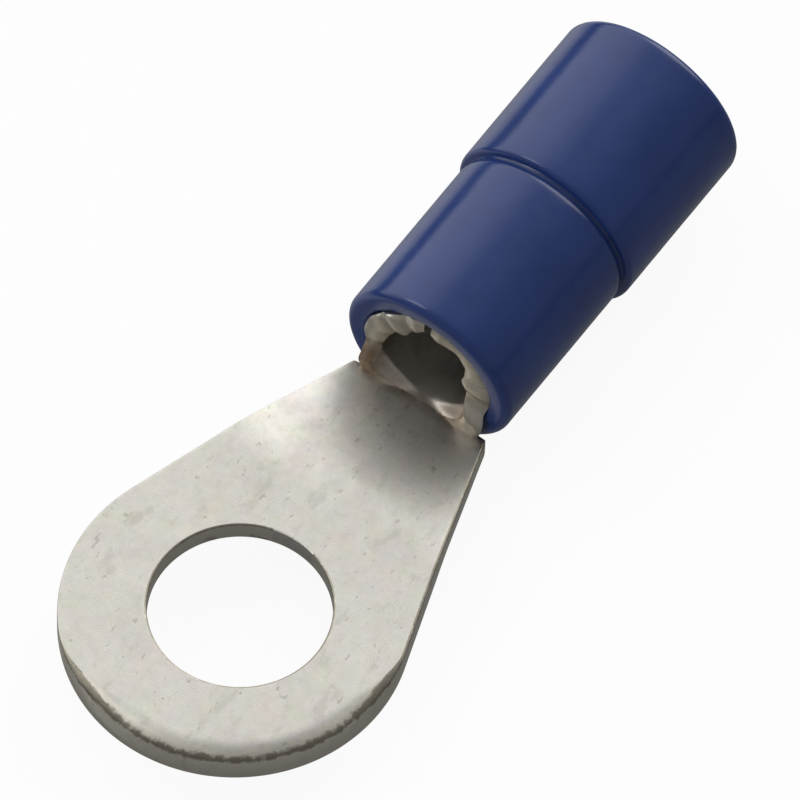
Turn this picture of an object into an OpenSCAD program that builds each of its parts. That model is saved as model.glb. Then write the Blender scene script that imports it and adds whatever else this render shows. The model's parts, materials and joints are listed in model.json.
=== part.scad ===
// Insulated ring terminal: a terminal stamped and rolled from tinned copper sheet,
// with a two-diameter vinyl sleeve swaged over its barrel.
// Origin: centre of the stud hole on the ring's underside. +X runs to the wire end, +Z is up.

/* [Sheet] */
// Thickness of the copper sheet
sheet_t = 0.7; // [0.6:0.05:1.1]
// Radius that the blanking die rolls onto the upper outside edges
edge_r = 0.3; // [0.05:0.01:0.4]
// Radius on the upper edge of the stud hole
hole_edge_r = 0.06; // [0.02:0.01:0.2]

/* [Ring] */
// Diameter of the stud hole
hole_d = 5.3; // [3.2:0.1:6.5]
// Diameter of the ring's rounded end
ring_d = 10.1; // [9:0.1:12]
// Distance that the rounded end's centre stands beyond the stud centre
ring_shift = 0.25; // [0:0.05:0.6]

/* [Tongue] */
// Distance from the stud centre to where the tongue starts to bend down
flat_x = 4.2; // [3.5:0.1:5.2]
// Radius of that bend, along the middle of the sheet
bend_r = 8; // [3:0.5:12]
// Distance from the stud centre to the neck
neck_x = 8.7; // [8:0.1:12]
// Width of the tongue at the neck
neck_w = 4.7; // [4.2:0.1:6]
// Height that the tongue drops from the ring to the neck, where it bends back to level
tongue_drop = 0.6; // [0.1:0.05:1]
// Radius of the shoulder corners at the neck
shoulder_r = 0.1; // [0.05:0.01:0.2]

/* [Barrel] */
// Diameter of the bore that takes the bare wire
barrel_bore = 2.9; // [2:0.05:3.2]
// Length of the barrel from the neck to its wire end
barrel_len = 6.1; // [4:0.1:9]
// Height of the upright flanks above the tongue
flank_h = 0.7; // [0.3:0.05:1]
// Distance that the top of the mouth stands back from the neck
mouth_back = 0.5; // [0.4:0.05:0.9]
// How square the flanks are at the neck, where 2 is round
flank_square = 3.6; // [2.5:0.1:5]
// Distance that each flank stands out beyond the round barrel at the neck
flank_splay = 0.08; // [0:0.01:0.2]
// Width of the seam groove along the top of the barrel
seam_w = 0.3; // [0.1:0.02:0.5]
// Depth of the seam groove
seam_depth = 0.18; // [0.05:0.01:0.25]
// Length of the notch that the seam opens into at the mouth
seam_notch = 0.45; // [0.2:0.05:1]
// Chamfer on the bore at the wire end
barrel_chamfer = 0.25; // [0.05:0.05:0.4]

/* [Sleeve] */
// Wall of the sleeve
sleeve_wall = 0.7; // [0.4:0.01:1]
// Radial clearance between the swaged sleeve and the barrel
grip_clearance = 0; // [0:0.005:0.02]
// Distance from the neck to the sleeve's front rim
sleeve_gap = 0.4; // [0.3:0.05:0.8]
// Distance from the barrel's wire end to the step
step_gap = 0.1; // [0.05:0.05:1]
// Height of the step in the sleeve, outside and inside
step_h = 0.18; // [0.05:0.01:0.4]
// Length of the wide part, which takes the wire's insulation
skirt_len = 5.5; // [3:0.1:9]
// Radius on the outer edge of both rims
rim_r = 0.26; // [0.1:0.02:0.36]
// Radius on the inner edge of both rims
mouth_rim_r = 0.14; // [0.05:0.01:0.2]

/* [Hidden] */
$fn = 96;

// Overlap between solids that are joined, and overshoot of cutters
JOIN = 0.1;
// Offset that keeps a blended skin just inside the round solid it runs into
SKIN = 0.01;
// Steps along the tongue's bend and round each rolled corner, and points round the trough
BEND_STEPS = 6;
EDGE_STEPS = 4;
LOOP_STEPS = 40;

ring_r = ring_d / 2;
hole_r = hole_d / 2;
neck_hw = neck_w / 2;

bore_r = barrel_bore / 2;
barrel_r = bore_r + sheet_t;
// The barrel's underside is level with the underside of the neck
axis_z = barrel_r - tongue_drop;
neck_top_z = sheet_t - tongue_drop;
mouth_x = neck_x + mouth_back;
barrel_end_x = neck_x + barrel_len;

sleeve_x = neck_x + sleeve_gap;
sleeve_bore_r = barrel_r + grip_clearance;
sleeve_r = sleeve_bore_r + sleeve_wall;
skirt_bore_r = sleeve_bore_r + step_h;
skirt_r = sleeve_r + step_h;
step_x = barrel_end_x + step_gap;
sleeve_end_x = step_x + skirt_len;

// The tongue's side runs from the neck corner to where it touches the round end
corner_l = norm([neck_x + ring_shift, neck_hw]);
side_a = atan2(neck_hw, neck_x + ring_shift) + acos(ring_r / corner_l);
side_x = ring_r * cos(side_a) - ring_shift;
side_y = ring_r * sin(side_a);

// Half the tongue's width at x, between that touching point and the neck
function half_width(x) = side_y + (neck_hw - side_y) * (x - side_x) / (neck_x - side_x);

// Slope of the tongue, so that the bend and the straight run after it drop by tongue_drop
tongue_run = neck_x - flat_x;
straight_run = sqrt(tongue_run ^ 2 + tongue_drop * (tongue_drop - 2 * bend_r));
slope_a = 2 * atan(tongue_drop / (tongue_run + straight_run));

// Middle line of the sheet along the tongue, as [x, z, slope], ending halfway through the neck's bend
tongue_path = concat(
    [[flat_x - JOIN, sheet_t / 2, 0]],
    [for (i = [0:BEND_STEPS])
        let (a = slope_a * i / BEND_STEPS)
        [flat_x + bend_r * sin(a), sheet_t / 2 - bend_r * (1 - cos(a)), a]],
    [[neck_x, sheet_t / 2 - tongue_drop, slope_a / 2]]
);

// Section of the sheet, half a width w to each side, with its upper corners rolled.
// Points are [across, up] from the middle of the sheet, just inside the flat part it runs into.
function sheet_section(w) =
    let (x = w - SKIN / 2, z = (sheet_t - SKIN) / 2)
    concat(
        [[-x, -z], [x, -z]],
        [for (i = [0:EDGE_STEPS])
            let (a = 90 * i / EDGE_STEPS)
            [x - edge_r * (1 - cos(a)), z - edge_r * (1 - sin(a))]],
        [for (i = [EDGE_STEPS:-1:0])
            let (a = 90 * i / EDGE_STEPS)
            [-x + edge_r * (1 - cos(a)), z - edge_r * (1 - sin(a))]]
    );

// The same section set square to the middle line at [x, z, slope]
function placed_section(at, w) = [
    for (p = sheet_section(w))
        [at[0] + p[1] * sin(at[2]), p[0], at[1] + p[1] * cos(at[2])]
];

// How far the wall at x is from round: 1 at the neck, 0 where the sleeve begins
function boxiness(x) =
    let (u = min(1, max(0, (x - neck_x) / (sleeve_x - neck_x))))
    (1 + cos(180 * u)) / 2;

// Closed loop of the barrel's wall at x: round of radius r, or boxier and splayed near the neck
function wall_loop(x, r) =
    let (square = 2 + (flank_square - 2) * boxiness(x))
    let (wide = (r + flank_splay * boxiness(x)) / r)
    [
        for (i = [0:LOOP_STEPS - 1])
            let (a = 360 * i / LOOP_STEPS)
            let (k = r / pow(pow(abs(cos(a)), square) + pow(abs(sin(a)), square), 1 / square))
            [x, k * cos(a) * wide, axis_z + k * sin(a)]
    ];

// Closed skin through a list of sections that follow one another along +X
module skin(sections) {
    n = len(sections[0]);
    last = len(sections) - 1;
    sides = [
        for (i = [0:last - 1], j = [0:n - 1])
            let (a = i * n + j, b = i * n + (j + 1) % n)
            each [[a, a + n, b + n], [a, b + n, b]]
    ];
    front = [for (j = [0:n - 1]) j];
    back = [for (j = [n - 1:-1:0]) last * n + j];
    polyhedron([for (s = sections) each s], concat(sides, [front, back]));
}

// What is left of a square corner outside a quarter round of radius r, with room beyond it
module corner_cut(r) {
    difference() {
        translate([-r, -r]) square(r + JOIN);
        translate([-r, -r]) circle(r);
    }
}

// Flat disc with its upper outside edge rolled
module ring_disc() {
    translate([-ring_shift, 0, 0])
        rotate_extrude()
            difference() {
                square([ring_r, sheet_t]);
                translate([ring_r, sheet_t]) corner_cut(edge_r);
            }
}

// Flat part of the tongue, from the round end to the bend
module flat_tongue() {
    w = half_width(flat_x);
    side_dir = atan2(w - side_y, flat_x - side_x);
    side_l = norm([flat_x - side_x, w - side_y]);
    difference() {
        linear_extrude(sheet_t)
            polygon([
                [-ring_shift, 0],
                [side_x, -side_y],
                [flat_x, -w],
                [flat_x, w],
                [side_x, side_y]
            ]);
        for (m = [0, 1])
            mirror([0, m, 0])
                translate([side_x, side_y, sheet_t])
                    rotate([0, 0, side_dir])
                        rotate([90, 0, 90])
                            linear_extrude(side_l + 1)
                                corner_cut(edge_r);
    }
}

// Sloping part of the tongue down to the neck, with its two shoulder corners
module sloping_tongue() {
    neck_z = sheet_t / 2 - tongue_drop;
    skin(concat(
        [for (p = tongue_path) placed_section(p, half_width(p[0]))],
        [for (a = [45, 90])
            placed_section([neck_x + shoulder_r * sin(a), neck_z, 0], neck_hw - shoulder_r * (1 - cos(a)))]
    ));
}

// Short trough where the sheet turns up from flat into the round barrel
module trough() {
    start = neck_x + shoulder_r / 2;
    end = mouth_x + JOIN;
    xs = [for (i = [0:4]) start + (sleeve_x - start) * i / 4];
    difference() {
        skin(concat(
            [for (x = xs) wall_loop(x, barrel_r - SKIN)],
            [wall_loop(end, barrel_r - SKIN)]
        ));
        skin(concat(
            [wall_loop(start - JOIN, bore_r + SKIN)],
            [for (x = xs) wall_loop(x, bore_r + SKIN)],
            [wall_loop(end + JOIN, bore_r + SKIN)]
        ));
        mouth_cut();
    }
}

// Room in front of the mouth: the flanks stand upright, then slope back to the mouth
module mouth_cut() {
    flank_z = neck_top_z + flank_h;
    start = neck_x + shoulder_r / 2;
    translate([0, barrel_r + 1, 0])
        rotate([90, 0, 0])
            linear_extrude(2 * barrel_r + 2)
                polygon([
                    [start - 1, flank_z],
                    [start, flank_z],
                    [mouth_x, flank_z + mouth_back],
                    [mouth_x, axis_z + barrel_r + 1],
                    [start - 1, axis_z + barrel_r + 1]
                ]);
}

// Rolled tube of the barrel, chamfered where the wire goes in
module barrel_tube() {
    translate([mouth_x, 0, axis_z])
        rotate([0, 90, 0])
            difference() {
                cylinder(r = barrel_r, h = barrel_end_x - mouth_x);
                translate([0, 0, -JOIN])
                    cylinder(r = bore_r, h = barrel_len + 1);
                translate([0, 0, barrel_end_x - mouth_x - barrel_chamfer])
                    cylinder(r1 = bore_r, r2 = bore_r + barrel_chamfer + JOIN, h = barrel_chamfer + JOIN);
            }
}

// Butt seam along the top of the barrel: a groove outside and inside, and a notch at the mouth
module seam_cut() {
    for (z = [axis_z + barrel_r, axis_z + bore_r])
        translate([mouth_x - 1, 0, z])
            rotate([90, 0, 90])
                linear_extrude(barrel_len + 2)
                    polygon([[0, -seam_depth], [seam_w / 2, 0], [0, seam_depth], [-seam_w / 2, 0]]);
    translate([0, 0, axis_z])
        linear_extrude(barrel_r + 1)
            polygon([
                [mouth_x - 1, seam_w],
                [mouth_x, seam_w * 0.7],
                [mouth_x + seam_notch, 0],
                [mouth_x, -seam_w * 0.7],
                [mouth_x - 1, -seam_w]
            ]);
}

// Ring, tongue and barrel in one piece of sheet
module terminal() {
    color([0.80, 0.79, 0.75])
        difference() {
            union() {
                ring_disc();
                flat_tongue();
                sloping_tongue();
                trough();
                barrel_tube();
            }
            translate([0, 0, -JOIN])
                cylinder(r = hole_r, h = sheet_t + 2 * JOIN);
            rotate_extrude()
                translate([hole_r, sheet_t])
                    mirror([1, 0])
                        corner_cut(hole_edge_r);
            seam_cut();
        }
}

// Half section of the sleeve, drawn with its length along Y and its radius along X
module sleeve_section() {
    front_l = step_x - sleeve_x;
    full_l = sleeve_end_x - sleeve_x;
    difference() {
        union() {
            translate([sleeve_bore_r, 0])
                square([sleeve_wall, front_l + step_h]);
            translate([skirt_bore_r, front_l])
                square([sleeve_wall, skirt_len]);
        }
        // Rounded rims
        translate([sleeve_r, 0]) mirror([0, 1]) corner_cut(rim_r);
        translate([sleeve_bore_r, 0]) mirror([1, 0]) mirror([0, 1]) corner_cut(mouth_rim_r);
        translate([skirt_r, full_l]) corner_cut(rim_r);
        translate([skirt_bore_r, full_l]) mirror([1, 0]) corner_cut(mouth_rim_r);
        // Rounded shoulder outside, and a cone inside that leads the wire to the barrel
        translate([skirt_r, front_l]) mirror([0, 1]) corner_cut(step_h);
        polygon([
            [sleeve_bore_r, front_l],
            [skirt_bore_r, front_l + step_h],
            [skirt_bore_r, front_l + 2 * step_h],
            [sleeve_bore_r - 1, front_l + 2 * step_h],
            [sleeve_bore_r - 1, front_l]
        ]);
    }
}

// Vinyl sleeve: narrow over the barrel, wider over the wire's insulation
module insulating_sleeve() {
    color([0.10, 0.17, 0.42])
        translate([sleeve_x, 0, axis_z])
            rotate([0, 90, 0])
                rotate_extrude()
                    sleeve_section();
}

terminal();
insulating_sleeve();
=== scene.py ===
import json
import math

import bmesh
import bpy
import numpy as np
from mathutils import Matrix, Vector, noise
from mathutils.kdtree import KDTree


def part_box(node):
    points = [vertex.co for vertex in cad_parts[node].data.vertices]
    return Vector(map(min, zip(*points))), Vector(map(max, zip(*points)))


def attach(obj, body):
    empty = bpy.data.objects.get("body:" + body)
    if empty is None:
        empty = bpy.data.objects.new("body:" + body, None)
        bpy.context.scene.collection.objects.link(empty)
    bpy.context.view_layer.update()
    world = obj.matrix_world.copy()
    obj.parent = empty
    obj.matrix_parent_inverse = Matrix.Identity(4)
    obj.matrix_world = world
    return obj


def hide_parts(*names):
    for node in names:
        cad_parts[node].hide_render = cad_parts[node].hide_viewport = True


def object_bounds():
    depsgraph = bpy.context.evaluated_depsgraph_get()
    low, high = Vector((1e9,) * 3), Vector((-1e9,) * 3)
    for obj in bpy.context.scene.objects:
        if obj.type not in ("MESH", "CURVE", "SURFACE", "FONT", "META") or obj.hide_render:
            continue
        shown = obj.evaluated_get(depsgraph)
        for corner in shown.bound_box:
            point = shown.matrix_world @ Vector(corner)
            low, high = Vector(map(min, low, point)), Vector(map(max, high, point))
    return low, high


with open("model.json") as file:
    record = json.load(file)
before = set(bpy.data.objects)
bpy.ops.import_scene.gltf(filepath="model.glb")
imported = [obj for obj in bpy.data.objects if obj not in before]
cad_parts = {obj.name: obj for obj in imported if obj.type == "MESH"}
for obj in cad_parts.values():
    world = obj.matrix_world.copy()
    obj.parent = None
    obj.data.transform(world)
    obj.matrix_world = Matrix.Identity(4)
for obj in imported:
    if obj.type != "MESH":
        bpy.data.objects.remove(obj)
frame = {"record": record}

MM = 0.001
cad_lo, cad_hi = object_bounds()

# ---- Sizes, in millimetres, as in the CAD model ----
ring_lo, ring_hi = (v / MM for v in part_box("terminal"))
tube_lo, tube_hi = (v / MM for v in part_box("insulating_sleeve"))
mounts = {m["name"]: m for m in frame["record"]["mounts"]}

SHEET = mounts["stud_hole"]["dims"]["length_mm"]
HOLE_R = mounts["stud_hole"]["dims"]["r_mm"]
BORE_R = mounts["wire_barrel"]["dims"]["r_mm"]
BARREL_R = BORE_R + SHEET
RING_R = (ring_hi.y - ring_lo.y) / 2
RING_X = ring_lo.x + RING_R
BARREL_END = ring_hi.x
AXIS_Z = (tube_lo.z + tube_hi.z) / 2
BEND_X = 4.2
BEND_R = 8
NECK_X = 8.7
NECK_HW = 2.35
NECK_EASE = 0.7
TONGUE_DROP = BARREL_R - AXIS_Z
SHOULDER_R = 0.1

SLEEVE_X = tube_lo.x
SLEEVE_END = tube_hi.x
SKIRT_R = (tube_hi.z - tube_lo.z) / 2
STEP_X = 14.9
STEP_H = 0.18
SLEEVE_R = SKIRT_R - STEP_H


def smooth(a, b, x):
    t = np.clip((x - a) / (b - a), 0, 1)
    return t * t * (3 - 2 * t)


# ---- Mesh helpers ----
def grid_faces(rows, cols, close_rows, close_cols):
    faces = []
    for r in range(rows if close_rows else rows - 1):
        for c in range(cols if close_cols else cols - 1):
            r2, c2 = (r + 1) % rows, (c + 1) % cols
            faces.append((r * cols + c, r * cols + c2, r2 * cols + c2, r2 * cols + c))
    return faces


def mesh_object(name, points, faces, **marks):
    """A mesh from points in millimetres. A mark is a number per point, which the material reads by name."""
    mesh = bpy.data.meshes.new(name)
    mesh.from_pydata([tuple(p) for p in np.asarray(points) * MM], [], faces)
    for mark, values in marks.items():
        data = mesh.attributes.new(mark, "FLOAT", "POINT").data
        data.foreach_set("value", np.asarray(values, dtype=float))
    mesh.validate()
    obj = bpy.data.objects.new(name, mesh)
    bpy.context.scene.collection.objects.link(obj)
    bm = bmesh.new()
    bm.from_mesh(mesh)
    bmesh.ops.recalc_face_normals(bm, faces=bm.faces)
    bm.to_mesh(mesh)
    bm.free()
    return obj


# Edges that turn by more than this many degrees stay sharp
METAL_CREASE = 38
VINYL_CREASE = 50


def shade(obj, angle):
    mesh = obj.data
    mesh.shade_smooth()
    mesh.set_sharp_from_angle(angle=math.radians(angle))


def ripple(points, scale, seed):
    """Smooth noise from -1 to 1 at each point, with features of about 1 / scale mm."""
    return np.array([noise.noise(Vector(p) * scale + Vector((seed, 2 * seed, 0))) for p in points])


# ---- The sheet: ring and tongue ----
# The rolled-over corner, where the die pressed hardest and where it pressed least
ROLL_IN, ROLL_LEAST = 0.82, 0.024
TEAR_IN, TEAR_LEAST = 0.25, 0.01
ROLL_DROP, DROP_LEAST = 0.17, 0.018
# The die pressed hardest towards this side, and the roll grows as the edge's normal turns that way
ROLL_TOWARD = (-0.82, -0.57)
LEAN_FROM, LEAN_TO = 0.15, 0.8
# The ragged tear line, as (millimetres, features per millimetre, seed)
TEAR_WAVES = [(0.03, 2.6, 9.0), (0.015, 7.0, 4.0)]
TEAR_SPREAD = 2
HOLE_ROLL = 0.06
HOLE_BEVEL = 0.3 * HOLE_ROLL
BURR_R = 0.05
# The cut mark, also painted shade: 0 is whole plating, then a cut wall, the burr, and dark torn metal
WALL_CUT = 0.45
BURR_CUT = 0.65
# Painted shade on the hole's top corner, as dark as torn metal
HOLE_RIM_SHADE = 0.9
HOLE_CORNER_SHADE = 1.1
# Where along the roll its dark colour comes in: a torn line where the die pressed hardest, painted shade over
# the whole small roll where it pressed least
DARKEN_FROM, DARKEN_TO = 0.2, 1.1
UNCUT_FACING = 0.7
# The brown at the neck, which is bare copper inside the mouth and painted shade along the crease,
# and how far that shade reaches out on the tongue
NECK_TARNISH_AND_SHADE = 0.6
NECK_SHADE_REACH = 0.3
PLATE_END = NECK_X + SHOULDER_R
OUTLINE_STEP = 0.11
FACE_ROWS = 28
ROLL_STEPS = 8
WALL_STEPS = 6


def tangent_point():
    """Where the tongue's straight side meets the round end, on the +Y side, and its direction angle."""
    reach = math.hypot(NECK_X - RING_X, NECK_HW)
    a = math.atan2(NECK_HW, NECK_X - RING_X) + math.acos(RING_R / reach)
    return RING_R * math.cos(a) + RING_X, RING_R * math.sin(a), a


def outline():
    """The blank's outline, anticlockwise from the middle of the neck, as points and outward normals."""
    tx, ty, a = tangent_point()
    path = [(PLATE_END, y) for y in np.linspace(0, NECK_HW - SHOULDER_R, 24)]
    for b in np.radians(np.linspace(0, 90, 6)[1:]):
        path.append((NECK_X + SHOULDER_R * math.cos(b), NECK_HW - SHOULDER_R * (1 - math.sin(b))))
    path += [(NECK_X + (tx - NECK_X) * t, NECK_HW + (ty - NECK_HW) * t) for t in np.linspace(0, 1, 70)[1:]]
    path += [(RING_X + RING_R * math.cos(b), RING_R * math.sin(b)) for b in np.linspace(a, math.pi, 100)[1:]]
    half = np.array(path)
    full = np.vstack([half, (half * (1, -1))[-2:0:-1]])
    loop = np.vstack([full, full[:1]])
    length = np.concatenate([[0], np.cumsum(np.hypot(*np.diff(loop, axis=0).T))])
    count = int(length[-1] / OUTLINE_STEP)
    at = np.linspace(0, length[-1], count, endpoint=False)
    points = np.stack([np.interp(at, length, loop[:, k]) for k in (0, 1)], axis=1)
    along = np.roll(points, -1, axis=0) - np.roll(points, 1, axis=0)
    normal = np.stack([along[:, 1], -along[:, 0]], axis=1)
    return points, normal / np.hypot(*normal.T)[:, None]


def edge_profile(lean):
    """Rows round the blanked edge from its top face to its bottom face, as (inset, height, sheared).

    The die rolled the top corner over, down to a ragged line where the metal tore, and left a slanting wall.
    The roll is painted dark at the tear line where the die pressed hardest, and all over, as painted shade,
    where it pressed least.
    """
    face = ROLL_LEAST + (ROLL_IN - ROLL_LEAST) * lean
    tear = TEAR_LEAST + (TEAR_IN - TEAR_LEAST) * lean
    drop = DROP_LEAST + (ROLL_DROP - DROP_LEAST) * lean
    rows = []
    for t in np.linspace(0, 1, ROLL_STEPS):
        # Painted shade: the less the die pressed, the more of the roll is dark
        sheared = smooth(DARKEN_FROM, DARKEN_TO, t + 1 - lean) if t > 0 else 0
        rows.append((face + (tear - face) * t, SHEET / 2 - drop * t**2, sheared))
    low = -SHEET / 2 + BURR_R
    top = SHEET / 2 - drop
    for t in np.linspace(0, 1, WALL_STEPS)[1:]:
        rows.append((tear * (1 - math.sin(math.pi / 2 * t)), top + (low - top) * t, WALL_CUT))
    for b in np.radians((30, 60, 90)):
        rows.append((BURR_R * (1 - math.cos(b)), low - BURR_R * math.sin(b), BURR_CUT))
    return rows


def sheet_path(x):
    """Height of the sheet's middle, and its slope, at x."""
    run = NECK_X - BEND_X
    straight = math.sqrt(run**2 + TONGUE_DROP * (TONGUE_DROP - 2 * BEND_R))
    slope = 2 * math.atan(TONGUE_DROP / (run + straight))
    u = np.clip((x - BEND_X) / BEND_R, 0, math.sin(slope))
    angle = np.arcsin(u)
    z = SHEET / 2 - BEND_R * (1 - np.cos(angle))
    bend_end = BEND_X + BEND_R * math.sin(slope)
    # The slope eases off just before the crease at the neck
    ease = np.clip(x - (NECK_X - NECK_EASE), 0, 2 * NECK_EASE)
    run_down = np.clip(x - bend_end, 0, NECK_X + NECK_EASE - bend_end) - ease**2 / (4 * NECK_EASE)
    z = z - run_down * math.tan(slope)
    level = smooth(NECK_X - NECK_EASE, NECK_X + NECK_EASE, x)
    return z, angle * (1 - level)


def placed(x, y, n):
    z, slope = sheet_path(x)
    return np.stack([x + n * np.sin(slope), y, z + n * np.cos(slope)], axis=1)


def make_plate():
    points, normal = outline()
    count = len(points)
    turn = np.arctan2(points[:, 1], points[:, 0])
    spoke = np.stack([np.cos(turn), np.sin(turn)], axis=1)
    flat = np.column_stack([points, np.zeros(count)])
    lean = smooth(LEAN_FROM, LEAN_TO, normal @ np.array(ROLL_TOWARD))
    rings, marks = [], []

    def ring(at, n, sheared):
        rings.append((at, np.broadcast_to(n, count)))
        marks.append(np.broadcast_to(sheared, count))

    def face(inner, outer, n):
        for t in np.linspace(0, 1, FACE_ROWS + 1)[1:-1]:
            ring(inner + (outer - inner) * t, n, 0.0)

    edge = edge_profile(lean)
    # The hole, from the bottom face up to the top face, with a small rolled corner painted dark as shade
    ring(spoke * (HOLE_R + BURR_R), -SHEET / 2, WALL_CUT)
    ring(spoke * HOLE_R, -SHEET / 2 + BURR_R, BURR_CUT)
    ring(spoke * HOLE_R, 0.0, WALL_CUT)
    ring(spoke * HOLE_R, SHEET / 2 - HOLE_ROLL, WALL_CUT)
    ring(spoke * (HOLE_R + HOLE_BEVEL), SHEET / 2 - HOLE_BEVEL, HOLE_CORNER_SHADE)
    ring(spoke * (HOLE_R + HOLE_ROLL), SHEET / 2, HOLE_RIM_SHADE)
    inner_top = spoke * (HOLE_R + 1.1 * HOLE_ROLL)
    ring(inner_top, SHEET / 2, 0.0)
    face(inner_top, points - normal * edge[0][0][:, None], SHEET / 2)
    tear = sum(size * ripple(flat, scale, seed) for size, scale, seed in TEAR_WAVES)
    for k, (inset, n, sheared) in enumerate(edge):
        ragged = tear * lean * math.exp(-(((k - ROLL_STEPS + 1) / TEAR_SPREAD) ** 2))
        ring(points - normal * (inset + ragged)[:, None], n, sheared)
    face(rings[-1][0], rings[0][0], -SHEET / 2)
    solid = np.vstack([placed(p[:, 0], p[:, 1], n) for p, n in rings])
    faces = grid_faces(len(rings), count, True, True)
    # The edge across the neck was never cut: the sheet runs on into the barrel there
    uncut = np.tile(normal[:, 0] > UNCUT_FACING, len(rings))
    sheared = np.where(uncut, 0, np.concatenate(marks))
    # Painted shade: brown on the tongue's last stretch before the neck crease
    tarnish = NECK_TARNISH_AND_SHADE * smooth(NECK_X - NECK_SHADE_REACH, NECK_X, solid[:, 0])
    return mesh_object("plate", solid, faces, sheared=sheared, tarnish=tarnish)


# ---- The sheet: flanks and barrel ----
MARKS = ("sheared", "tarnish")
# Points of the joined sheet that lie closer than this are merged
MERGE = 0.0002
# The barrel's wall, which is square at the neck and round from the sleeve on
SKIN = 0.012
SQUARE = 3.6
SPLAY = 0.08
FLANK_H = 0.7
CHAMFER = 0.25
TURN_STEPS = 280
BARREL_ROWS = 46
RIM_STEPS = 8
ROW_CROWDING = 1.7
# The mouth, and how deep inside it the wall comes back to the sheet's thickness
MOUTH_BACK = 0.5
MOUTH_X = NECK_X + MOUTH_BACK
MOUTH_LEAN = 0.17
SLOPE_BELOW, SLOPE_ABOVE = 0.1, 0.6
LEAN_ABOVE = 0.7
EVEN_FROM, EVEN_TO = 0.2, 2.2
# The seam's gap and the nick at its front end, in radians, and the nick's length
SEAM_GAP = 0.01
NOTCH = 0.05
NOTCH_LENGTH = 0.35
# The rim's bulge and grain, and the foremost that it may stand, ahead of the neck
LIP = 0.10
RIM_GRAIN = 0.012
RIM_ACROSS, RIM_AROUND = 2, 2.2
RIM_AHEAD = 0.02
# Marks on the barrel, and the shares of its length behind the mouth over which they fade out
RIM_CUT_MARK = 0.4
INNER_CUT_MARK = 0.3
RIM_TARNISH = 0.3
INNER_TARNISH = 0.10
CUT_FADE, CREASE_FADE, INNER_FADE = 0.04, 0.03, 0.10
# The stretch of the rim painted brown as shade, low on its +Y side, in radians round the barrel
FLANK_SHADE = (-1.0, -0.6, -0.3, 0.1)
# Below this height round the barrel, as a sine, it runs on into the tongue
BARREL_FOOT = -0.8
# Wall left at the mouth, by angle round the barrel from +Y over the top, as (degrees, millimetres)
MOUTH_WALL = [
    (-180, 0.92), (-172, 0.80), (-155, 0.62), (-135, 0.66), (-90, 0.70), (-50, 0.66), (-25, 0.56), (-8, 0.58),
    (4, 0.70), (18, 0.74), (34, 0.76), (43, 0.70), (47, 0.80), (58, 0.82), (66, 0.72), (78, 0.60), (86, 0.48),
    (92, 0.46), (97, 0.58), (112, 0.56), (128, 0.50), (142, 0.56), (158, 0.80), (170, 0.98), (180, 0.92),
]
# Lumps and nicks that the shear left on the rim, as (degrees, spread in degrees, forward in millimetres)
RIM_LUMPS = [
    (6, 9, 0.05), (33, 11, 0.05), (47, 3, -0.08), (57, 8, 0.07), (72, 4, -0.06), (81, 5, 0.04),
    (99, 5, 0.05), (121, 9, -0.04), (150, 8, 0.04), (165, 3, -0.07), (177, 7, 0.04), (196, 4, -0.06),
    (-22, 5, -0.05),
]


def boxiness(x):
    return (1 + np.cos(np.pi * np.clip((x - NECK_X) / (SLEEVE_X - NECK_X), 0, 1))) / 2


def wall_point(x, a, r):
    """Point of the barrel's wall at x, at angle a round it, with radius r where it is round."""
    box = boxiness(x)
    square = 2 + (SQUARE - 2) * box
    wide = (r + SPLAY * box) / r
    k = r / (np.abs(np.cos(a)) ** square + np.abs(np.sin(a)) ** square) ** (1 / square)
    return np.stack([x, k * np.cos(a) * wide, AXIS_Z + k * np.sin(a)], axis=-1)


def mouth_wall(a):
    deg = np.degrees((a + np.pi) % (2 * np.pi) - np.pi)
    at, wall = np.array(MOUTH_WALL).T
    return np.interp(deg, at, wall)


def mouth_edge(a):
    """Where the rim stands along X at each angle: upright flanks, a slope, then the top of the mouth."""
    r = BARREL_R - SHEET / 2
    z = AXIS_Z + r * np.sin(a)
    flank_top = SHEET - TONGUE_DROP + FLANK_H
    edge = NECK_X + SHOULDER_R / 2 + MOUTH_BACK * smooth(flank_top - SLOPE_BELOW, flank_top + SLOPE_ABOVE, z)
    # The mouth was sheared askew, so its +Y side stands further forward
    askew = smooth(-0.2, 0.7, np.cos(a)) * smooth(flank_top, flank_top + LEAN_ABOVE, z)
    edge = edge - MOUTH_LEAN * askew
    deg = np.degrees(a) % 360
    for at, spread, forward in RIM_LUMPS:
        off = (deg - at % 360 + 180) % 360 - 180
        edge = edge - forward * np.exp(-((off / spread) ** 2))
    low = smooth(AXIS_Z - 1.4, AXIS_Z - 0.9, z)
    grain = ripple(np.stack([np.cos(a), np.sin(a), 0 * a], axis=1) * RIM_AROUND, 1.1, 3.0)
    return edge + RIM_GRAIN * grain * low


def rim_points(edge, angle, inner, outer, s):
    """The rim at one angle. It bulges forward between its inner and outer edge, and has a torn grain."""
    a = np.full_like(s, angle)
    lip = LIP * np.sin(np.pi * s) ** 0.5
    around = [s * RIM_ACROSS, RIM_AROUND * np.cos(a), RIM_AROUND * np.sin(a)]
    rough = ripple(np.stack(around, axis=1), 2.3, 7.0)
    x = edge - lip * smooth(-0.2, 0.3, np.sin(a) + 0.75) - RIM_GRAIN * rough
    return wall_point(np.clip(x, NECK_X - RIM_AHEAD, None), a, inner + (outer - inner) * s)


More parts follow.
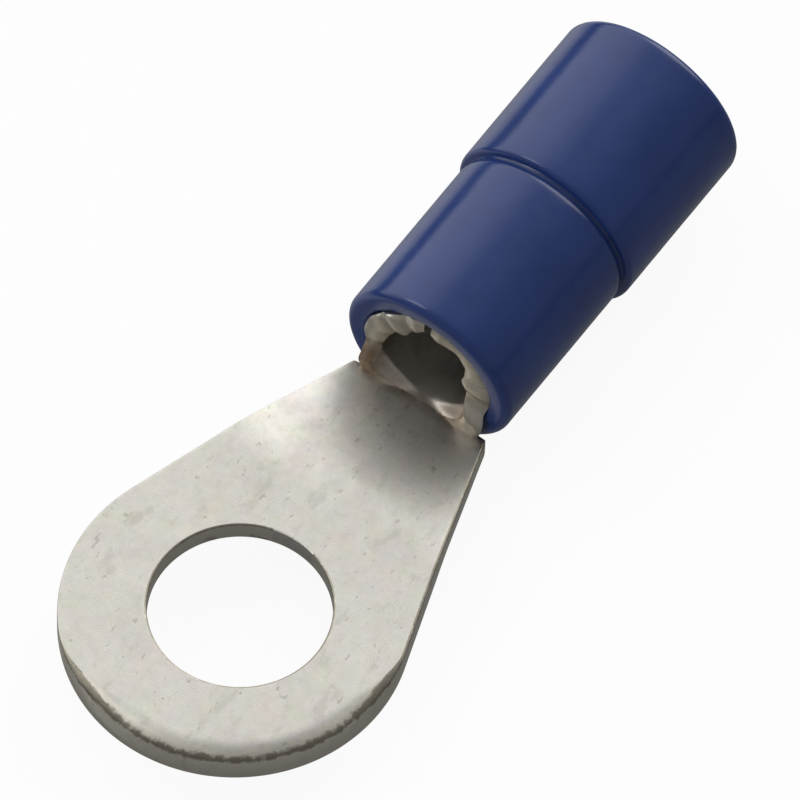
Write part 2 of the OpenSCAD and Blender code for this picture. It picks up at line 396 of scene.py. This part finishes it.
def barrel_marks(angle, t, s):
    """How much of each mark the barrel has: along its outside, back along its inside, up the rim.

    The brown along the neck crease and low on the rim's +Y side is painted shade.
    """
    inner_cut = INNER_CUT_MARK * smooth(CUT_FADE, 0, t)[::-1]
    sheared = np.concatenate([np.zeros_like(t), inner_cut, np.full_like(s, RIM_CUT_MARK)])
    # Painted shade, brown, low on the rim's +Y side
    flank_shade = smooth(*FLANK_SHADE[:2], angle) * smooth(*FLANK_SHADE[:1:-1], angle)
    # Painted shade, brown, along the neck crease
    crease_shade = NECK_TARNISH_AND_SHADE * smooth(CREASE_FADE, 0, t) * (np.sin(angle) < BARREL_FOOT)
    low = NECK_TARNISH_AND_SHADE * smooth(INNER_FADE, 0, t) * (np.sin(angle) < 0)
    inside = np.maximum(INNER_TARNISH, low)
    rim = np.maximum(RIM_TARNISH * (1 - s), flank_shade)
    return sheared, np.concatenate([crease_shade, inside[::-1], rim])


def barrel_loop(side):
    """One closed loop along the wall, and its marks. side is -1 at one lip of the seam and 1 at the other."""
    edge = mouth_edge(np.array([-np.pi / 2 + side * np.pi]))[0]
    t = np.linspace(0, 1, BARREL_ROWS) ** ROW_CROWDING
    x = edge + (BARREL_END - edge) * t
    gap = SEAM_GAP + NOTCH * np.exp(-((x - edge) / NOTCH_LENGTH) ** 2)
    a = -np.pi / 2 + side * (np.pi - gap)
    deep = smooth(MOUTH_X + EVEN_FROM, MOUTH_X + EVEN_TO, x)
    wall = mouth_wall(a) * (1 - deep) + SHEET * deep
    outer = np.full_like(x, BARREL_R - SKIN)
    inner = outer - wall - SKIN * (1 - deep)
    chamfer = np.clip(x - (BARREL_END - CHAMFER), 0, CHAMFER)
    outside = wall_point(x, a, outer)
    inside = wall_point(x, a, inner + chamfer)
    s = np.linspace(0, 1, RIM_STEPS + 2)[1:-1]
    rim = rim_points(edge, a[0], inner[0], outer[0], s)
    return np.vstack([outside, inside[::-1], rim]), *barrel_marks(a[0], t, s)


def make_barrel():
    loops, sheared, tarnish = zip(*(barrel_loop(side) for side in np.linspace(-1, 1, TURN_STEPS)))
    count = len(loops[0])
    faces = grid_faces(TURN_STEPS, count, False, True)
    n = BARREL_ROWS
    for base in (0, (TURN_STEPS - 1) * count):
        for k in range(n - 1):
            faces.append((base + k, base + k + 1, base + 2 * n - 2 - k, base + 2 * n - 1 - k))
        faces.append((base + 0, *(base + 2 * n - 1 + k for k in range(RIM_STEPS + 1))))
    marks = {"sheared": np.concatenate(sheared), "tarnish": np.concatenate(tarnish)}
    return mesh_object("barrel", np.vstack(loops), faces, **marks)


def union(a, b):
    mod = a.modifiers.new("join", "BOOLEAN")
    mod.operation = "UNION"
    mod.solver = "EXACT"
    mod.object = b
    dg = bpy.context.evaluated_depsgraph_get()
    mesh = bpy.data.meshes.new_from_object(a.evaluated_get(dg))
    a.modifiers.remove(mod)
    a.data = mesh
    bpy.data.objects.remove(b)
    return a


def marks_of(parts):
    """The marks of several meshes, kept by place, because joining the meshes mixes them up."""
    places, values = [], {mark: [] for mark in MARKS}
    for part in parts:
        places += [v.co.copy() for v in part.data.vertices]
        for mark in MARKS:
            values[mark] += [d.value for d in part.data.attributes[mark].data]
    tree = KDTree(len(places))
    for k, place in enumerate(places):
        tree.insert(place, k)
    tree.balance()
    return tree, values


def make_terminal():
    plate = make_plate()
    barrel = make_barrel()
    tree, values = marks_of([plate, barrel])
    body = union(plate, barrel)
    body.name = "ring_terminal_sheet"
    nearest = [tree.find(v.co)[1] for v in body.data.vertices]
    for mark in MARKS:
        body.data.attributes[mark].data.foreach_set("value", [values[mark][k] for k in nearest])
    bm = bmesh.new()
    bm.from_mesh(body.data)
    bmesh.ops.dissolve_degenerate(bm, dist=MERGE * MM, edges=bm.edges)
    bm.to_mesh(body.data)
    bm.free()
    shade(body, METAL_CREASE)
    return body


# ---- Sleeve ----
RIM_OUT = 0.26
RIM_IN = 0.14
SLEEVE_TURNS = 192
# The hollow at the step's foot, as (distance along X from the step, change of radius)
STEP_HOLLOW = [(-0.26, -0.012), (-0.17, -0.05), (-0.08, -0.075), (-0.015, -0.05)]
STEP_FOOT = 0.05
STEP_SHOULDER = 0.15
# The waviness of the outside, as (millimetres, features per millimetre, seed), drawn out along X
SWELL, SWELL_STRETCH = (0.010, 0.55, 11.0), (0.35, 1, 1)
FINE_SWELL = (0.003, 2.2, 5.0)
SWELL_MARGIN = 0.012
OUTSIDE_FROM = 0.4


def arc(cx, cr, radius, start, end, steps):
    return [
        (cx + radius * math.cos(b), cr + radius * math.sin(b))
        for b in np.radians(np.linspace(start, end, steps))
    ]


def sleeve_profile():
    """Closed profile as (x, radius), from the front rim along the outside and back through the bore."""
    bore = BARREL_R
    skirt_bore = bore + STEP_H
    front = SLEEVE_X
    end = SLEEVE_END
    path = arc(front + RIM_OUT, SLEEVE_R - RIM_OUT, RIM_OUT, 180, 90, 9)
    path += [(x, SLEEVE_R) for x in np.linspace(front + 0.5, STEP_X - 0.35, 36)]
    # The step: a small hollow at its foot, then a rounded shoulder
    path += [(STEP_X + along, SLEEVE_R + change) for along, change in STEP_HOLLOW]
    rise = STEP_H - STEP_FOOT
    path += [
        (STEP_X + STEP_SHOULDER * (1 - math.cos(b)), SLEEVE_R + STEP_FOOT + rise * math.sin(b))
        for b in np.radians((0, 20, 40, 58, 74, 90))
    ]
    path += [(x, SKIRT_R) for x in np.linspace(STEP_X + 0.5, end - RIM_OUT - 0.15, 34)]
    path += arc(end - RIM_OUT, SKIRT_R - RIM_OUT, RIM_OUT, 90, 0, 9)
    path += arc(end - RIM_IN, skirt_bore + RIM_IN, RIM_IN, 0, -90, 6)
    path += [(x, skirt_bore) for x in np.linspace(end - 0.4, STEP_X + 0.4, 20)]
    path += [(STEP_X + STEP_H, skirt_bore), (STEP_X, bore)]
    path += [(x, bore) for x in np.linspace(STEP_X - 0.3, front + 0.4, 20)]
    path += arc(front + RIM_IN, bore + RIM_IN, RIM_IN, 270, 180, 6)
    return np.array(path)


def make_sleeve():
    profile = sleeve_profile()
    turn = np.linspace(0, 2 * np.pi, SLEEVE_TURNS, endpoint=False)
    x = np.repeat(profile[None, :, 0], SLEEVE_TURNS, axis=0)
    r = np.repeat(profile[None, :, 1], SLEEVE_TURNS, axis=0)
    a = np.repeat(turn[:, None], len(profile), axis=1)
    points = np.stack([x, r * np.cos(a), r * np.sin(a)], axis=-1).reshape(-1, 3)
    radius = (points[:, 1] ** 2 + points[:, 2] ** 2) ** 0.5
    outside = radius > BARREL_R + OUTSIDE_FROM
    swell = SWELL[0] * ripple(points * SWELL_STRETCH, *SWELL[1:])
    swell = swell + FINE_SWELL[0] * ripple(points, *FINE_SWELL[1:])
    # The margin keeps the swollen wall inside the CAD sleeve
    scale = 1 + np.where(outside, swell - SWELL_MARGIN, 0) / radius
    points[:, 1] *= scale
    points[:, 2] *= scale
    points[:, 2] += AXIS_Z
    sleeve = mesh_object("stepped_vinyl_sleeve", points, grid_faces(SLEEVE_TURNS, len(profile), True, True))
    shade(sleeve, VINYL_CREASE)
    return sleeve


# ---- Materials ----
class Nodes:
    """Short names for making and joining the nodes of one material."""

    def __init__(self, name):
        self.mat = bpy.data.materials.new(name)
        self.mat.use_nodes = True
        self.tree = self.mat.node_tree
        self.tree.nodes.clear()
        self.out = self.add("ShaderNodeOutputMaterial")

    def add(self, kind, inputs=None, **settings):
        node = self.tree.nodes.new(kind)
        for key, value in settings.items():
            setattr(node, key, value)
        for key, value in (inputs or {}).items():
            if isinstance(value, bpy.types.NodeSocket):
                self.tree.links.new(value, node.inputs[key])
            else:
                node.inputs[key].default_value = value
        return node

    def ramp(self, value, stops):
        node = self.add("ShaderNodeValToRGB", {"Fac": value})
        band = node.color_ramp
        while len(band.elements) < len(stops):
            band.elements.new(0.5)
        for element, (at, color) in zip(band.elements, stops):
            element.position = at
            element.color = (*color, 1) if len(color) == 3 else color
        return node.outputs["Color"]

    def fade(self, value, low, high, most=1.0):
        """0 up to low, then rising to most at high."""
        return self.ramp(value, [(low, gray(0.0)), (high, gray(most))])

    def noise(self, vector, scale, detail=2.0, rough=0.5):
        inputs = {"Vector": vector, "Scale": scale, "Detail": detail, "Roughness": rough}
        return self.add("ShaderNodeTexNoise", inputs)

    def mix(self, factor, a, b, blend="MIX"):
        node = self.add("ShaderNodeMix", data_type="RGBA", blend_type=blend)
        for socket, value in zip((node.inputs[0], node.inputs[6], node.inputs[7]), (factor, a, b)):
            if isinstance(value, bpy.types.NodeSocket):
                self.tree.links.new(value, socket)
            else:
                socket.default_value = value
        return node.outputs[2]

    def math(self, operation, a, b):
        return self.add("ShaderNodeMath", {0: a, 1: b}, operation=operation).outputs[0]

    def place(self):
        """Object coordinates in millimetres."""
        coords = self.add("ShaderNodeTexCoord").outputs["Object"]
        return self.add("ShaderNodeVectorMath", {0: coords, "Scale": 1 / MM}, operation="SCALE").outputs[0]

    def finish(self, shader):
        self.tree.links.new(shader.outputs[0], self.out.inputs["Surface"])
        return self.mat


def gray(v):
    return (v, v, v)


# ---- Metal ----
TIN = ((0.585, 0.563, 0.51), (0.65, 0.628, 0.572), (0.705, 0.683, 0.625))
SMUDGE = (0.36, 0.35, 0.28, 1)
FLAW = (0.20, 0.18, 0.14, 1)
CUT_WALL = (0.70, 0.665, 0.575, 1)
# Dark torn metal, also used as painted shade on the blank's edges and the hole's corner
TORN_METAL_AND_SHADE = (0.20, 0.18, 0.135, 1)
# Copper brown, also used as painted shade along the neck crease and low on the rim's +Y side
BARE_COPPER_AND_SHADE = (0.30, 0.195, 0.125, 1)
# Nicks and smudges are drawn out along X
DRAWN = (1.0, 1.9, 1.9)
METAL_RELIEF = 0.012 * MM


def tin_plate():
    n = Nodes("tinned_copper")
    p = n.place()
    cloud = n.noise(p, 0.8, 6.0, 0.68).outputs["Fac"]
    grain = n.noise(p, 5.0, 4.0, 0.65).outputs["Fac"]
    tint = n.noise(p, 1.4, 3.0, 0.6).outputs["Color"]
    base = n.ramp(cloud, list(zip((0.28, 0.52, 0.75), TIN)))
    base = n.mix(0.4, base, n.ramp(grain, [(0.3, gray(0.78)), (0.7, gray(1.0))]), "MULTIPLY")
    base = n.mix(0.11, base, tint, "OVERLAY")
    # Short dark nicks, and small pits
    drawn = n.add("ShaderNodeVectorMath", {0: p, 1: DRAWN}, operation="MULTIPLY").outputs[0]
    nick = n.fade(n.noise(drawn, 2.5, 3.0, 0.55).outputs["Fac"], 0.645, 0.70)
    cell = n.add("ShaderNodeTexVoronoi", {"Vector": p, "Scale": 1.3, "Randomness": 1.0})
    size = n.fade(cell.outputs["Color"], 0.45, 1.0, 0.10)
    spot = n.math("LESS_THAN", cell.outputs["Distance"], size)
    smudge = n.fade(n.noise(drawn, 1.15, 4.0, 0.6).outputs["Fac"], 0.57, 0.68, 0.3)
    base = n.mix(smudge, base, SMUDGE)
    flaw = n.math("MAXIMUM", n.math("MULTIPLY", nick, 0.35), n.math("MULTIPLY", spot, 0.5))
    base = n.mix(flaw, base, FLAW)
    # Where the die cut the sheet the plating is thin and olive-brown, with a ragged edge. The dark torn metal
    # is also painted shade: on the hole's top corner, and over the small roll where the die pressed least
    torn = n.noise(p, 3.4, 4.0, 0.65).outputs["Fac"]
    ragged = n.math("MULTIPLY", n.math("SUBTRACT", torn, 0.5), 1.3)
    cut_and_shade_mark = n.add("ShaderNodeAttribute", attribute_name="sheared").outputs["Fac"]
    ragged_cut_and_shade = n.math("ADD", cut_and_shade_mark, n.math("MULTIPLY", ragged, n.fade(cut_and_shade_mark, 0.0, 0.3)))
    base = n.mix(n.fade(ragged_cut_and_shade, 0.12, 0.40, 0.9), base, CUT_WALL)
    base = n.mix(n.fade(ragged_cut_and_shade, 0.62, 0.90, 0.85), base, TORN_METAL_AND_SHADE)
    # Bare copper showing through a thin brown tarnish inside the mouth. The same brown is painted shade
    # along the neck crease and low on the rim's +Y side
    brown = n.add("ShaderNodeAttribute", attribute_name="tarnish").outputs["Fac"]
    patch = n.noise(p, 1.6, 3.0, 0.6).outputs["Fac"]
    patchy = n.math("MULTIPLY", brown, n.ramp(patch, [(0.3, gray(0.6)), (0.65, gray(1.0))]))
    base = n.mix(patchy, base, BARE_COPPER_AND_SHADE)
    rough = n.ramp(cloud, [(0.3, gray(0.47)), (0.7, gray(0.36))])
    relief = n.math("ADD", n.math("MULTIPLY", grain, 0.5), n.noise(p, 26.0, 2.0, 0.6).outputs["Fac"])
    relief = n.math("SUBTRACT", relief, n.math("MULTIPLY", flaw, 1.2))
    bump = n.add("ShaderNodeBump", {"Height": relief, "Strength": 0.4, "Distance": METAL_RELIEF})
    shader = n.add(
        "ShaderNodeBsdfPrincipled",
        {"Base Color": base, "Metallic": 1.0, "Roughness": rough, "Normal": bump.outputs[0]},
    )
    return n.finish(shader)


# ---- Vinyl ----
VINYL = ((0.013, 0.033, 0.140), (0.017, 0.042, 0.174))
VINYL_RELIEF = 0.010 * MM
VINYL_IOR = 1.5


def blue_vinyl():
    n = Nodes("blue_vinyl")
    p = n.place()
    cloud = n.noise(p, 0.6, 4.0, 0.6).outputs["Fac"]
    base = n.ramp(cloud, list(zip((0.3, 0.7), VINYL)))
    scuff = n.noise(p, 3.2, 5.0, 0.7).outputs["Fac"]
    rough = n.ramp(scuff, [(0.3, gray(0.15)), (0.7, gray(0.24))])
    fine = n.noise(p, 14.0, 2.0, 0.5).outputs["Fac"]
    relief = n.math("ADD", n.math("MULTIPLY", fine, 0.3), scuff)
    bump = n.add("ShaderNodeBump", {"Height": relief, "Strength": 0.25, "Distance": VINYL_RELIEF})
    shader = n.add(
        "ShaderNodeBsdfPrincipled",
        {"Base Color": base, "Roughness": rough, "IOR": VINYL_IOR, "Normal": bump.outputs[0]},
    )
    return n.finish(shader)


# ---- Camera ----
VIEW_AZIMUTH = -54.96
VIEW_ELEVATION = 58.98
VIEW_ROLL = 0.556
VIEW_RIGHT = 4.544 * MM
VIEW_UP = 6.187 * MM
VIEW_DISTANCE = 0.55
VIEW_WIDTH = 22.714 * MM
SENSOR = 36.0


def make_camera():
    a, e, r = (math.radians(v) for v in (VIEW_AZIMUTH, VIEW_ELEVATION, VIEW_ROLL))
    back = Vector((math.sin(a) * math.cos(e), -math.cos(a) * math.cos(e), math.sin(e)))
    level = Vector((math.cos(a), math.sin(a), 0))
    right = level * math.cos(r) + back.cross(level) * math.sin(r)
    up = back.cross(right)
    data = bpy.data.cameras.new("camera")
    data.sensor_width = SENSOR
    data.lens = SENSOR * VIEW_DISTANCE / VIEW_WIDTH
    data.clip_start, data.clip_end = 0.01, 4.0
    camera = bpy.data.objects.new("camera", data)
    place = right * VIEW_RIGHT + up * VIEW_UP + back * VIEW_DISTANCE
    camera.matrix_world = Matrix.Translation(place) @ Matrix((right, up, back)).transposed().to_4x4()
    bpy.context.scene.collection.objects.link(camera)
    bpy.context.scene.camera = camera


# ---- Floor and light ----
# The camera sees a white floor and a white world. For the photo's dark edges, the object's reflections see a
# dimmer floor and a gray fill instead, and bounced light sees a gray floor.
FLOOR_HALF = 0.5
FLOOR_WHITE = 0.93
FLOOR_COLOR = 0.90
FLOOR_BOUNCE = 0.40
FLOOR_SPAN = 50 * MM
# How bright the floor looks in the object's reflections, as (millimetres along Y, level)
FLOOR_MIRROR = [(4, 0.18), (10, 0.74), (19, 0.74), (25, 0.06)]


def make_floor():
    z = cad_lo.z
    h = FLOOR_HALF
    mesh = bpy.data.meshes.new("floor")
    mesh.from_pydata([(-h, -h, z), (h, -h, z), (h, h, z), (-h, h, z)], [], [(0, 1, 2, 3)])
    floor = bpy.data.objects.new("floor", mesh)
    bpy.context.scene.collection.objects.link(floor)
    n = Nodes("floor")
    path = n.add("ShaderNodeLightPath").outputs
    camera = path["Is Camera Ray"]
    mirror = n.math("MAXIMUM", path["Is Glossy Ray"], path["Is Transmission Ray"])
    color = n.mix(camera, (*gray(FLOOR_BOUNCE), 1), (*gray(FLOOR_COLOR), 1))
    diffuse = n.add("ShaderNodeBsdfDiffuse", {"Color": color})
    across = n.add("ShaderNodeSeparateXYZ", {0: n.add("ShaderNodeTexCoord").outputs["Object"]}).outputs["Y"]
    ends = {"From Min": -FLOOR_SPAN, "From Max": FLOOR_SPAN}
    along = n.add("ShaderNodeMapRange", {"Value": across, **ends}).outputs[0]
    mirrored = n.ramp(along, [(0.5 + y * MM / FLOOR_SPAN / 2, gray(v)) for y, v in FLOOR_MIRROR])
    strength = n.math("MAXIMUM", camera, mirrored)
    white = n.add("ShaderNodeEmission", {"Strength": strength})
    seen = n.math("MULTIPLY", n.math("MAXIMUM", camera, mirror), FLOOR_WHITE)
    mix = n.add("ShaderNodeMixShader", {0: seen, 1: diffuse.outputs[0], 2: white.outputs[0]})
    mesh.materials.append(n.finish(mix))


# The world's light, which the camera doesn't see: a fill that grows towards one side, and soft glows, as
# (direction, cosine at the glow's outer end, cosine at its inner end, strength)
FILL_TOWARD = (0.45, 0.72, 0.53)
FILL_LOW, FILL_HIGH = 0.30, 0.61
# The horizon's height from its dark to its light end, and the share of the light that each end keeps
HORIZON = (0.03, 0.08, 0.12, 1.0)
GLOWS = [
    ((0.42, 0.86, 0.29), 0.50, 0.95, 1.15),
    ((0.88, -0.06, 0.47), 0.83, 0.98, 3.3),
]


def make_world():
    world = bpy.data.worlds.new("world")
    bpy.context.scene.world = world
    world.use_nodes = True
    tree = world.node_tree
    tree.nodes.clear()
    add, link = tree.nodes.new, tree.links.new
    direction = add("ShaderNodeTexCoord").outputs["Generated"]

    def spread(value, low, high, least, most):
        node = add("ShaderNodeMapRange")
        node.interpolation_type = "SMOOTHSTEP"
        ends = {"From Min": low, "From Max": high, "To Min": least, "To Max": most}
        for key, end in ends.items():
            node.inputs[key].default_value = end
        link(value, node.inputs["Value"])
        return node.outputs[0]

    def toward(way):
        node = add("ShaderNodeVectorMath")
        node.operation = "DOT_PRODUCT"
        node.inputs[1].default_value = Vector(way).normalized()
        link(direction, node.inputs[0])
        return node.outputs["Value"]

    def combine(operation, a, b):
        node = add("ShaderNodeMath")
        node.operation = operation
        link(a, node.inputs[0])
        link(b, node.inputs[1])
        return node.outputs[0]

    light = spread(toward(FILL_TOWARD), -0.1, 1.0, FILL_LOW, FILL_HIGH)
    for way, outer, inner, strength in GLOWS:
        light = combine("ADD", light, spread(toward(way), outer, inner, 0.0, strength))
    # A dark band along the horizon, and below it
    light = combine("MULTIPLY", light, spread(toward((0, 0, 1)), *HORIZON))
    soft = add("ShaderNodeBackground")
    link(light, soft.inputs["Strength"])
    white = add("ShaderNodeBackground")
    path = add("ShaderNodeLightPath")
    mix = add("ShaderNodeMixShader")
    link(path.outputs["Is Camera Ray"], mix.inputs[0])
    link(soft.outputs[0], mix.inputs[1])
    link(white.outputs[0], mix.inputs[2])
    out = add("ShaderNodeOutputWorld")
    link(mix.outputs[0], out.inputs["Surface"])


def make_lamp(name, place, size, energy):
    """A soft round lamp that faces the origin."""
    data = bpy.data.lights.new(name, "AREA")
    data.shape = "DISK"
    data.size = size
    data.energy = energy
    lamp = bpy.data.objects.new(name, data)
    place = Vector(place)
    lamp.matrix_world = Matrix.Translation(place) @ place.to_track_quat("Z", "Y").to_matrix().to_4x4()
    bpy.context.scene.collection.objects.link(lamp)
    return lamp


# Lamps, as (place in metres, size in metres, watts)
SOFTBOX = ((-0.04, 0.20, 0.27), 0.16, 0.145)
FRONT_FILL = ((-0.30, 0.03, 0.08), 0.10, 0.22)


def make_lamps():
    make_lamp("softbox", *SOFTBOX)
    # Fills in the sleeve's front end with its own blue. Reflections don't see it, so it leaves no glint
    make_lamp("front_fill", *FRONT_FILL).visible_glossy = False


bpy.context.scene.view_settings.view_transform = "Standard"
make_camera()
make_floor()
make_world()
make_lamps()

terminal = make_terminal()
terminal.data.materials.clear()
terminal.data.materials.append(tin_plate())
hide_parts("terminal")
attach(terminal, "root")

sleeve = make_sleeve()
sleeve.data.materials.append(blue_vinyl())
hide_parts("insulating_sleeve")
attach(sleeve, "root")
